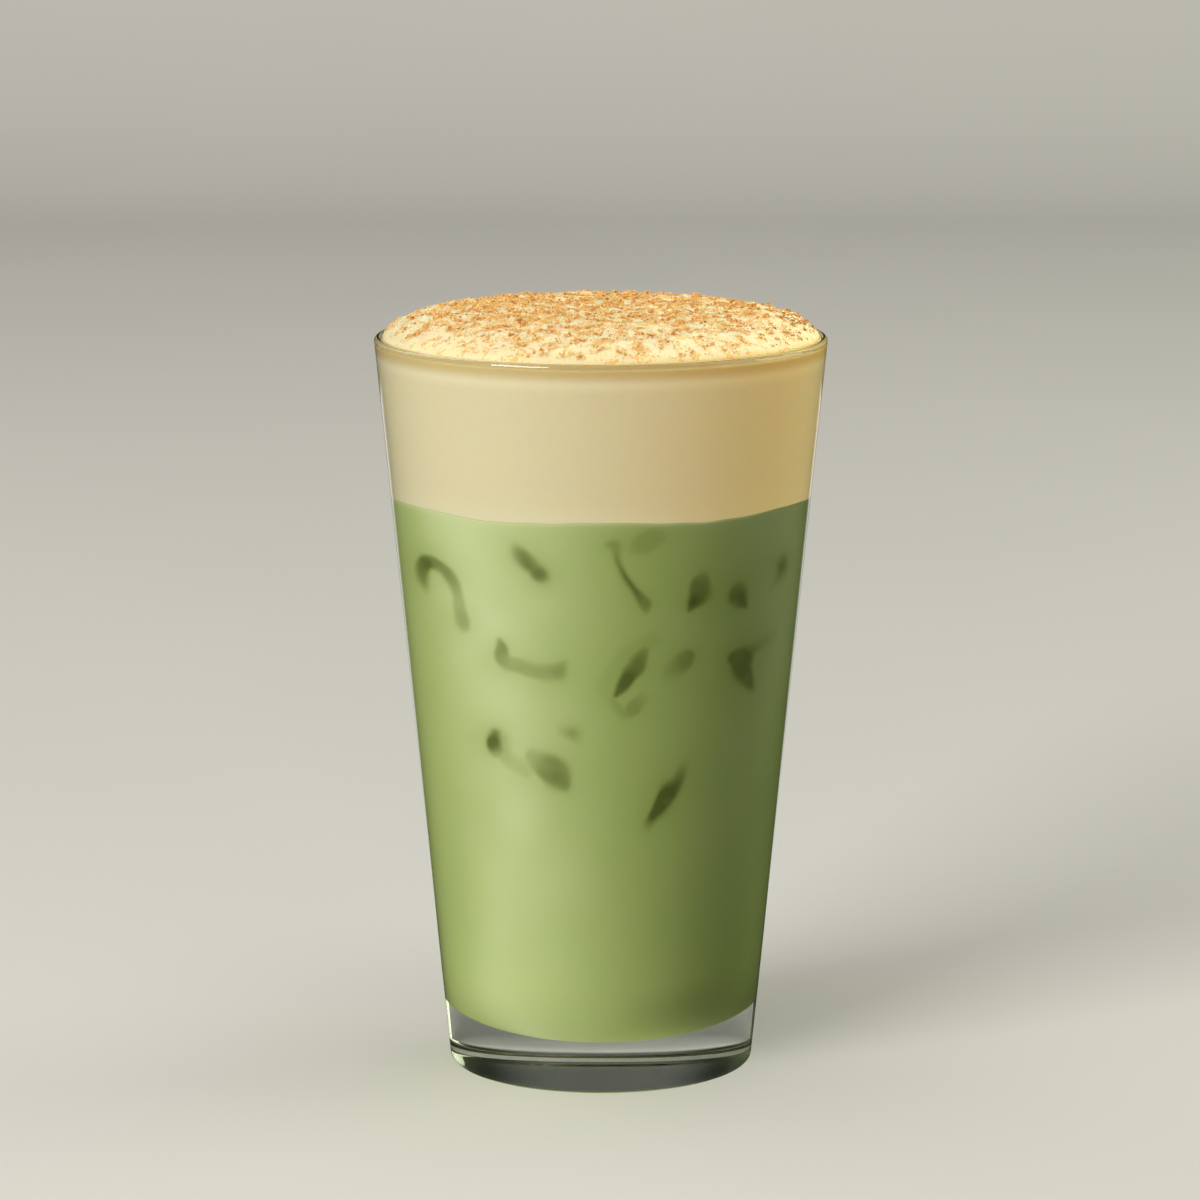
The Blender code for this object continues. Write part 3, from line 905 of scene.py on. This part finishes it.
def foam_rings():
    """Rings up the wall, over the short free edge, then over the mound to its middle."""
    angle = np.linspace(0.0, 2 * math.pi, FOAM_AROUND, endpoint=False)
    free = GLASS_HEIGHT - FREE_BELOW_RIM
    lower = LAST_STRETCH * np.linspace(0.0, 1.0, WALL_ROWS) ** CLOSER_AT_DRINK
    upper = np.linspace(LAST_STRETCH, 1.0, LAST_WALL_ROWS + 1)[1:]
    z = layer_level(angle) + np.append(lower, upper)[:, None] * (free - layer_level(angle))
    wall = polar(inner_radius(z) + INTO_WALL, angle, z)
    t = np.linspace(0.0, 1.0, EDGE_ROWS + 2)[1:-1, None]
    back = (INTO_WALL + LIP_GAP) * np.clip(t / DRAWN_BACK_BY, 0, 1) ** DRAWING_BACK
    z = free + t * FREE_BELOW_RIM
    edge = polar(inner_radius(z) + INTO_WALL - back, angle, z)
    share = 1 - np.linspace(0.0, 1.0, TOP_ROWS + 1)[:-1, None] ** CLOSER_AT_LIP
    return np.concatenate((wall, edge, mound_point(share, angle)[0]))


def smooth_step(values, start, end):
    """0 below start, 1 above end and an S curve between them."""
    t = np.clip((values - start) / (end - start), 0, 1)
    return t * t * (3 - 2 * t)


rings = foam_rings()
x, y, z = rings[..., 0], rings[..., 1], rings[..., 2]
row = np.arange(-(len(rings) - TOP_ROWS), TOP_ROWS)[:, None] + 0 * x
above_drink = z - layer_level(angle_of(rings))
foam_mesh = skin("foam", rings, DRINK_LEVEL, middle_level, flat_bottom=True)
ring = RING_MOST * np.exp(-((z - DARK_BAND_LEVEL + RING_BELOW) / RING_WIDTH) ** 2)
greened = GREENED_MOST * np.exp(-np.maximum(above_drink, 0) / GREENED_FADE)
reach = np.clip(REACH_PER_HEIGHT * above_drink, LEAST_REACH, DEEPEST_REACH)
for name, values, at_poles in (
    ("dusting", cover(x, y) * clumped(x, y, LEAST_DUST) * (row >= 0), (0.0, DUST_AT_MIDDLE)),
    ("wet_and_shaded", 1 - smooth_step(row, WET_AND_SHADED_FROM_ROW, WET_AND_SHADED_TO_ROW), (1.0, 0.0)),
    ("dark_band_under_lip", smooth_step(z, DARK_BAND_LEVEL - DARK_BAND_BELOW, DARK_BAND_LEVEL + DARK_BAND_ABOVE), (0.0, 0.0)),
    ("ring", ring, (0.0, 0.0)),
    ("reach", reach, (LEAST_REACH, DEEPEST_REACH)),
    ("depth", FOAM_SCATTER * smooth_step(above_drink, 0.0, FOAM_SCATTER_FROM), (0.0, FOAM_SCATTER)),
    ("greened", greened, (1.0, 0.0)),
):
    store(foam_mesh, name, values, at_poles)
foam = link("foam", foam_mesh, foam_material)
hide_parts("cold_foam")
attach(foam, "root")

# %% [markdown]
# ## Ground spice
#
# The spice is ground bark and nutmeg: angular crumbs, tan to red brown, a few nearly black. One
# material serves all of them. Each grain carries its own tone from 0 to 1, which picks its colour.

# %% Ground spice
FIBRE, FIBRE_SHARE = 0.3 * MM, 0.2
SPICE_TONES = ((0.0, "F6D996"), (0.35, "EBBD72"), (0.6, "DC9C50"), (0.85, "B87234"), (1.0, "5B3A28"))

spice_material, tree = new_material("ground_spice")
ramp = add(tree, "ShaderNodeValToRGB", {"Fac": number(tree, "tone")})
stops = ramp.color_ramp.elements
for place, colour in SPICE_TONES:
    stop = stops[0] if place == 0.0 else stops[-1] if place == 1.0 else stops.new(place)
    stop.color = linear(colour)
colour = mix_colours(tree, FIBRE_SHARE, ramp.outputs["Color"], noise(tree, FIBRE), "OVERLAY")
principled(tree, {"Base Color": colour, "Roughness": 0.8, "Specular IOR Level": 0.2})

# %% [markdown]
# ## Grains as one mesh
#
# Thousands of grains would be slow as single objects, so each kind is one mesh. All grains of a kind
# start from the same small shape, a closed octahedron or icosahedron. Arrays push its corners in and
# out, flatten it, turn it and carry it to its place, for every grain at once.

# %% Many small grains at once
OCTAHEDRON = (
    np.array([(1, 0, 0), (-1, 0, 0), (0, 1, 0), (0, -1, 0), (0, 0, 1), (0, 0, -1)], float),
    np.array([(0, 2, 4), (2, 1, 4), (1, 3, 4), (3, 0, 4), (2, 0, 5), (1, 2, 5), (3, 1, 5), (0, 3, 5)]),
)


def icosahedron():
    """Twelve corners: one at each end of the axis and two rings of five, and twenty faces."""
    turn_by = np.arange(5) * 2 * math.pi / 5
    z, r = 1 / math.sqrt(5), 2 / math.sqrt(5)
    upper, lower = polar(r, turn_by, z), polar(r, turn_by + math.pi / 5, -z)
    corners = np.vstack(((0, 0, 1), upper, lower, (0, 0, -1)))
    i = np.arange(5)
    j = (i + 1) % 5
    cap = np.stack((0 * i, 1 + i, 1 + j), 1)
    down = np.stack((1 + i, 6 + i, 1 + j), 1)
    up = np.stack((1 + j, 6 + i, 6 + j), 1)
    base = np.stack((11 + 0 * i, 6 + j, 6 + i), 1)
    return corners, np.vstack((cap, down, up, base))


CORNERS_PUSHED, SIDES, FLATTENING = (0.7, 1.15), (0.55, 1.0), 0.35


def grains(name, shape, places, normals, sizes, tones, seed, lift=0.15):
    """One mesh of many grains, each a pushed, flattened and turned copy of the shape."""
    draw = np.random.default_rng(seed)
    corners, faces = shape
    count = len(places)
    body = corners[None] * draw.uniform(*CORNERS_PUSHED, (count, len(corners), 1))
    body = body * draw.uniform(*SIDES, (count, 1, 3))
    body = np.einsum("nij,nkj->nki", random_turns(draw, count), body)
    flat = normals[:, None] * np.einsum("nki,ni->nk", body, normals)[..., None]
    body = body - FLATTENING * flat
    points = places[:, None] + 0.5 * sizes[:, None, None] * body
    points += (normals * sizes[:, None] * lift)[:, None]
    index = faces[None] + (np.arange(count) * len(corners))[:, None, None]
    mesh = mesh_of(name, points, index.reshape(-1, 3).tolist())
    store(mesh, "tone", np.repeat(tones, len(corners)))
    piece = link(name, mesh, spice_material)
    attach(piece, "root")
    return piece


# %% [markdown]
# ## The largest crumbs
#
# They lie exactly where the solids have them, by the same rule and the same seed. Ground bark
# breaks into splinters, so each crumb is a clump of nine small grains.

# %% The largest crumbs
CRUMB_COUNT = 185
CRUMB_SMALLEST = 1.0 * MM
CRUMB_LARGEST = 2.1 * MM
CRUMB_SPACING = 1.15
CRUMB_EDGE_MARGIN = 3.0 * MM
CRUMB_SEED = 9


def crumb_places():
    """(x, y, diameter) of each large crumb, as in the solids: random places kept by the dusting."""
    draw = random.Random(CRUMB_SEED)
    reach = MOUND_RADIUS - CRUMB_EDGE_MARGIN
    placed = []
    while len(placed) < CRUMB_COUNT:
        share = len(placed) / CRUMB_COUNT
        diameter = CRUMB_LARGEST + (CRUMB_SMALLEST - CRUMB_LARGEST) * share ** 0.7
        radius = reach * math.sqrt(draw.random())
        angle = draw.uniform(0, 2 * math.pi)
        x, y = radius * math.cos(angle), radius * math.sin(angle)
        if draw.random() > dusting(x, y):
            continue
        room = [0.5 * (diameter + size) * CRUMB_SPACING for _, _, size in placed]
        if all(math.hypot(x - ox, y - oy) > r for (ox, oy, _), r in zip(placed, room)):
            placed.append((x, y, diameter))
    return np.array(placed)


GRAINS_IN_CRUMB, GRAINS_APART, GRAIN_SIZES = 9, 0.26, (0.4, 0.65)
CRUMB_LIFT = 0.1
CRUMB_TONE, CRUMB_TONE_SPREAD, CRUMB_TONE_ENDS = 0.45, 0.17, (0.05, 0.85)


def crumbled(places, sizes, seed):
    """Places and sizes of the small grains that each large crumb is made of, round its middle."""
    draw = np.random.default_rng(seed)
    apart = draw.normal(size=(len(places), GRAINS_IN_CRUMB, 3))
    apart /= np.linalg.norm(apart, axis=-1, keepdims=True)
    apart *= (sizes * GRAINS_APART)[:, None, None]
    small = sizes[:, None] * draw.uniform(*GRAIN_SIZES, (len(places), GRAINS_IN_CRUMB))
    return (places[:, None] + apart).reshape(-1, 3), small.ravel()


large = crumb_places()
places, normals = foam_over(large[:, 0], large[:, 1])
places, sizes = crumbled(places + normals * large[:, 2:] * CRUMB_LIFT, large[:, 2], 33)
normals = np.repeat(normals, GRAINS_IN_CRUMB, axis=0)
tones = np.random.default_rng(31).normal(CRUMB_TONE, CRUMB_TONE_SPREAD, len(places))
tones = np.clip(tones, *CRUMB_TONE_ENDS)
spice = [grains("spice_large_crumbs", icosahedron(), places, normals, sizes, tones, 32, lift=0.0)]

# %% [markdown]
# ## The scattered spice
#
# The rest of the ground spice is crumbs, fine dust and a few dark specks. They follow the cover, and
# the crumbs and the dust lie in little heaps.

# %% Smaller crumbs, dust and dark specks
HEAP_RADIUS = 0.55 * MM
HEAP_HEIGHT = 0.25 * MM
STEEPEST = 5.0
TRIES_PER_HEAP = 60
LEAST_IN_GAPS = 0.2
MOSTLY_SMALL = 1.8


def scatter(count, seed, in_heap, edge=0.4 * MM):
    """Places and normals of many grains, which fall in little heaps of in_heap grains each.

    The middles are random places, kept with the chance that the cover and the clumps give, and more
    often on a slope, which has more surface. The grains lie round each middle in a bell curve, the
    ones near it a little higher.
    """
    draw = np.random.default_rng(seed)
    heaps = count // in_heap
    x, y = draw.uniform(-MOUND_RADIUS, MOUND_RADIUS, (2, TRIES_PER_HEAP * heaps))
    inside = np.hypot(x, y) < MOUND_RADIUS - edge
    x, y = x[inside], y[inside]
    upright = foam_over(x, y)[1][:, 2]
    chance = cover(x, y) * clumped(x, y, LEAST_IN_GAPS) * np.minimum(1 / upright, STEEPEST) / STEEPEST
    kept = np.flatnonzero(draw.random(x.size) < chance)[:heaps]
    apart = draw.normal(size=(2, len(kept) * in_heap))
    kept = np.repeat(kept, in_heap)
    x, y = np.stack((x[kept], y[kept])) + HEAP_RADIUS * upright[kept] * apart
    inside = np.hypot(x, y) < MOUND_RADIUS - edge
    point, normal = foam_over(x[inside], y[inside])
    lift = HEAP_HEIGHT * np.exp(-(apart ** 2).sum(axis=0)[inside]) * draw.random(len(point))
    return point + normal * lift[:, None] * (in_heap > 1), normal


SPICE_KINDS = (
    ("spice_crumbs", icosahedron(), 3900, 6, (0.45, 1.05), (0.42, 0.18), 41),
    ("spice_dust", OCTAHEDRON, 20000, 9, (0.22, 0.5), (0.32, 0.2), 42),
    ("spice_dark_specks", icosahedron(), 120, 1, (0.35, 0.7), (0.93, 0.05), 43),
)
for name, shape, count, in_heap, size_range, (tone, tone_spread), seed in SPICE_KINDS:
    places, normals = scatter(count, seed, in_heap)
    draw = np.random.default_rng(seed + 100)
    low, high = size_range
    sizes = (low + (high - low) * draw.random(len(places)) ** MOSTLY_SMALL) * MM
    tones = np.clip(draw.normal(tone, tone_spread, len(places)), 0, 1)
    spice.append(grains(name, shape, places, normals, sizes, tones, seed + 200))

# %% [markdown]
# ## The floor
#
# The glass stands on a pale, matt paper sweep, a floor that bends up into a wall far behind it. The
# paper's mottle is faint and slow, a noise between two close tones.

# %% The paper sweep
MOTTLE = 1 / 6
SWEEP_BEHIND = 1.6
SWEEP_BEND = 0.8
SWEEP_REACH = 4.0
SWEEP_SIDE = 12.0

paper_material, tree = new_material("pale_matt_paper")
principled(tree, {
    "Base Color": mix_colours(tree, noise(tree, MOTTLE, 4.0), "E9E7E2", "EDEBE6"),
    "Roughness": 0.8, "Specular IOR Level": 0.1,
})


def sheet(name, points):
    """An open mesh over a grid of points, with a quad between each four neighbours."""
    rows, columns, _ = points.shape
    start = (np.arange(rows - 1)[:, None] * columns + np.arange(columns - 1)).ravel()
    quads = np.stack((start, start + columns, start + columns + 1, start + 1), axis=1)
    return mesh_of(name, points, quads.tolist())


def sweep_points():
    """A strip: flat from in front of the camera, then a quarter circle, then a wall."""
    angle = np.linspace(-0.5 * math.pi, 0.0, 24)
    bend_y = SWEEP_BEHIND + SWEEP_BEND * np.cos(angle)
    bend_z = SWEEP_BEND * (1 + np.sin(angle))
    y = np.concatenate(([-SWEEP_REACH], bend_y, [SWEEP_BEHIND + SWEEP_BEND]))
    z = np.concatenate(([0.0], bend_z, [SWEEP_REACH]))
    left = np.stack((np.full_like(y, -SWEEP_SIDE), y, z), axis=1)
    return np.stack((left, left * (-1, 1, 1)))


sweep_mesh = sheet("paper_sweep", sweep_points())
sweep_mesh.shade_smooth()
sweep = link("paper_sweep", sweep_mesh, paper_material)

# %% [markdown]
# ## The light
#
# The key light is a large soft box at the front left, which gives the smooth fall from light to
# dark across the glass. A weak one at the right lifts the shaded side. A third soft light hangs
# behind the mound and lights its top alone. The shaded side of real foam glows warm with light that
# has come through it, and a warm light that reaches the foam alone stands for that.
#
# So pale a floor would throw back too much light and grey the reflections. Neither diffuse light nor
# reflections see it therefore, and a dim light that lies on it and shines up takes its place. The
# thick base also gathers light and throws it up into the bowl, and a small lamp under its left half
# does that for the drink alone. It is aimed a hair off the vertical, because a lamp that lies
# exactly level left a faint step of shade across the bowl.

# %% The lights
MIDDLE = Vector((0.0, 0.0, 0.08))


def around(azimuth, distance, height):
    """A place at a distance from the glass. Azimuth 0 is the camera's side, negative is left."""
    turned = math.radians(azimuth)
    return Vector((distance * math.sin(turned), -distance * math.cos(turned), height))


def soft_box(name, place, target, size, watts, colour="FFFDF8", only=(), seen=True):
    """An area light aimed at a target. It may light some objects alone, or be left out of mirrors."""
    data = bpy.data.lights.new(name, "AREA")
    data.shape = "RECTANGLE"
    data.size, data.size_y = size
    data.energy = watts
    data.color = linear(colour)[:3]
    lamp = bpy.data.objects.new(name, data)
    lamp.location = place
    lamp.rotation_euler = (target - place).to_track_quat("-Z", "Y").to_euler()
    lamp.visible_glossy = lamp.visible_transmission = seen
    bpy.context.scene.collection.objects.link(lamp)
    if only:
        lit = bpy.data.collections.new(name + "_lights")
        for thing in only:
            lit.objects.link(thing)
        lamp.light_linking.receiver_collection = lit
    return lamp


rim_middle = Vector((0.0, 0.0, GLASS_HEIGHT))
on_floor = Vector((0.0, 0.0, 0.5 * MM))
under_base = on_floor + Vector((-14 * MM, -12 * MM, 0.0))
almost_up = under_base + Vector((0.0, -1 * MM, 80 * MM))
key = soft_box("key_light", around(-41.5, 2.4, 0.62), MIDDLE, (1.3, 1.4), watts=74.5)
soft_box("side_light", around(104, 2.0, 0.5), MIDDLE, (1.4, 1.2), watts=17.0, colour="F8FFD8")
soft_box("floor_light", around(0, 0.0, 3.0), MIDDLE, (3.0, 3.0), watts=50.0, only=[sweep])
soft_box("top_light", around(125, 0.25, 0.58), rim_middle, (0.3, 0.3), watts=2.5, only=[foam, *spice])
beside = around(70, 1.2, 0.06)
soft_box("warm_light", beside, rim_middle, (1.0, 0.1), watts=6.8, colour="FFD68C", only=[foam])
soft_box("bounce_light", on_floor, MIDDLE, (1.2, 1.2), watts=0.4, seen=False)
soft_box("base_light", under_base, almost_up, (0.06, 0.06), watts=0.0085, only=[drink], seen=False)
sweep.visible_diffuse = sweep.visible_glossy = False

world = bpy.data.worlds.new("studio")
world.use_nodes = True
surroundings = world.node_tree.nodes["Background"].inputs
surroundings["Color"].default_value = linear("E6E6E4")
surroundings["Strength"].default_value = 0.03
bpy.context.scene.world = world
bpy.context.scene.view_settings.view_transform = "Standard"
print("key light", [round(v, 2) for v in key.location], round(key.data.energy, 1), "W")

# %% [markdown]
# ## Cards for the reflections
#
# The walls lean out, so they mirror what lies low beside the glass. A glowing card on the floor at
# the left gives the soft pale band from top to bottom, and two narrow ones behind the glass draw a
# thin bright line along each edge. Clear glass on a pale ground also needs something dark to bend
# into view, or its base vanishes. So three tall dark cards stand far behind it, and a fourth lies on
# the floor there and darkens the line right under the drink. Each card is strongest in its middle
# and fades out at its sides, and the camera doesn't see it. No two share a surface where they
# overlap, or a ray might meet only one of them. The renderer aims no rays at the cards, or it would
# aim fewer at the lamps.

# %% The cards
CARD_NEAR, CARD_FAR = 0.036, 0.9
CARD_HEIGHT = 0.7
SPREADS_ASIDE = 2.5
GROWS_OVER = 0.2
GLOW_LIFT, DARK_LIFT = 1.0 * MM, 0.7 * MM
GLOW_CARDS = (
    ("glowing_card", -66.0, 24.0, 0.15), ("left_strip", -163.0, 3.5, 0.8), ("right_strip", 163.0, 3.5, 0.8),
)
DARK_CARDS = (
    ("left_dark_card", -140.0, 22.0, 1.0, 0.90), ("middle_dark_card", 180.0, 22.0, 0.7, 0.92),
    ("right_dark_card", 140.0, 22.0, 1.0, 0.94),
)


def card_material(name, colour, glows):
    """Clear where the card's number is 0. Where it is 1, a glow is added or a dark colour covers."""
    material, tree = new_material(name)
    material.cycles.emission_sampling = "NONE"
    strength = number(tree, "strength")
    clear = add(tree, "ShaderNodeBsdfTransparent").outputs["BSDF"]
    shine = add(tree, "ShaderNodeEmission", {"Color": colour, "Strength": strength if glows else 1.0})
    if glows:
        show(tree, "ShaderNodeAddShader", {0: shine.outputs["Emission"], 1: clear})
    else:
        show(tree, "ShaderNodeMixShader", {0: strength, 1: clear, 2: shine.outputs["Emission"]})
    return material


def card(name, azimuth, spread, strength, material, stands_at=None, grows=False):
    """A fan of a ring on the floor, or a standing strip of a drum, with a bell curve across it.

    It may also grow slowly from nothing at its near edge.
    """
    across = np.radians(azimuth + spread * np.linspace(-SPREADS_ASIDE, SPREADS_ASIDE, 64))
    along = np.linspace(0.0, 1.0, 12)[:, None]
    if stands_at:
        distance, height = stands_at + 0 * along, CARD_HEIGHT * along
    else:
        distance = CARD_NEAR + (CARD_FAR - CARD_NEAR) * along ** 2
        height = (DARK_LIFT if material == dark_material else GLOW_LIFT) + 0 * along
    mesh = sheet(name, polar(distance, across - 0.5 * math.pi, height))
    bell = np.exp(-0.5 * ((np.degrees(across) - azimuth) / spread) ** 2)
    growth = np.clip(along / GROWS_OVER, 0, 1) if grows else along > 0
    store(mesh, "strength", strength * bell * growth)
    piece = link(name, mesh, material)
    for ray in ("camera", "diffuse", "volume_scatter", "shadow"):
        setattr(piece, "visible_" + ray, False)
    piece.visible_transmission = material == dark_material


glow_material = card_material("glowing_card", "FFFDF8", True)
dark_material = card_material("dark_card", "20261F", False)
for name, azimuth, spread, strength in GLOW_CARDS:
    card(name, azimuth, spread, strength, glow_material)
for name, azimuth, spread, strength, stands_at in DARK_CARDS:
    card(name, azimuth, spread, strength, dark_material, stands_at)
card("floor_dark_card", 180.0, 50.0, 0.75, dark_material, grows=True)
